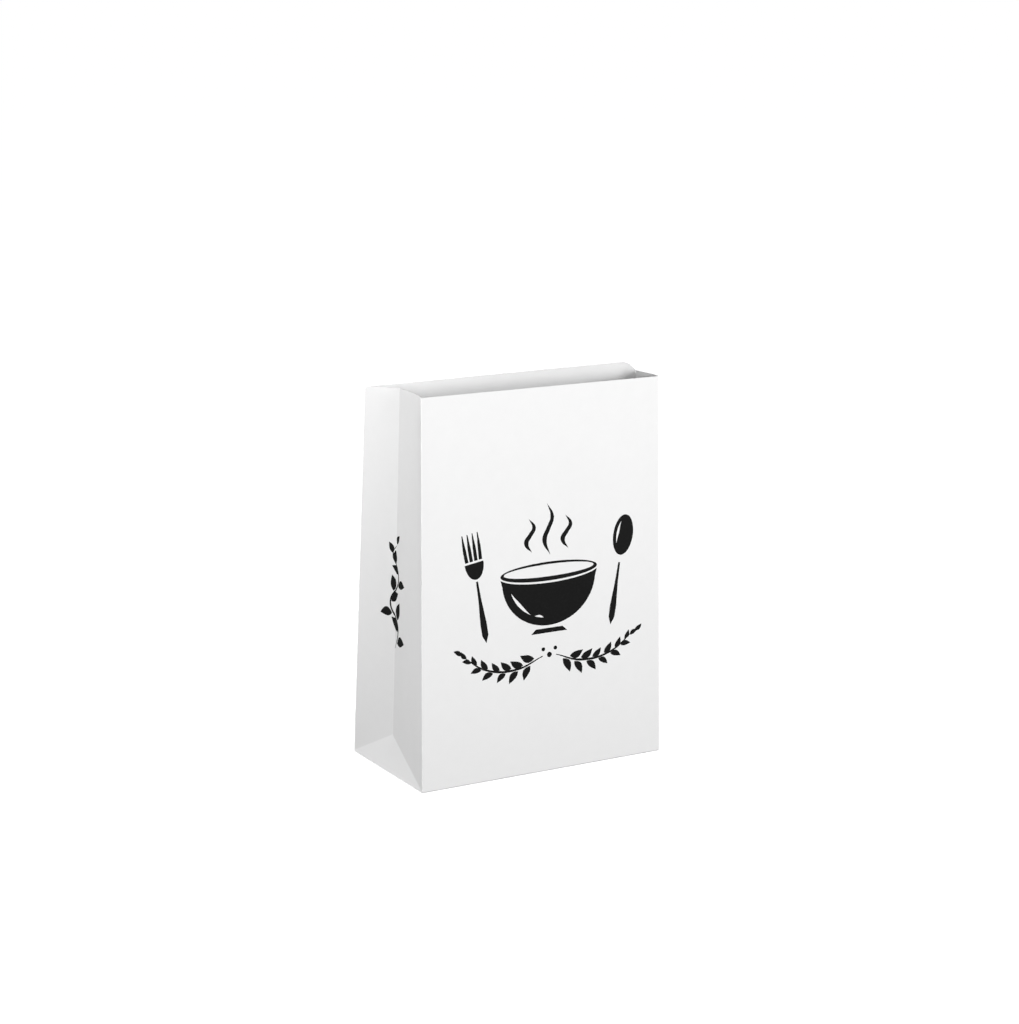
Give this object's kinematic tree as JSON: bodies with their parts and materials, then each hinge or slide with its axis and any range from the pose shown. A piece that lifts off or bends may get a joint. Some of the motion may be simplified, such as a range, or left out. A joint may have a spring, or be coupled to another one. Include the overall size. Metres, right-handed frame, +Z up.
{
  "type": "square bottom paper bag",
  "caption": "White square bottom paper bag for prepared food, standing open, with a flat base, creased side gussets and a plain black food print.",
  "frame": {"origin": "middle of the base, on the surface that the bag stands on", "axes": "+Z up towards the mouth, -Y towards the printed front panel, X across its width"},
  "size_m": [0.2117, 0.11, 0.287],
  "materials": {
    "paper": "matt",
    "ink": "matt"
  },
  "bodies": {
    "root": {"paper_bag": "paper"}
  },
  "joints": []
}
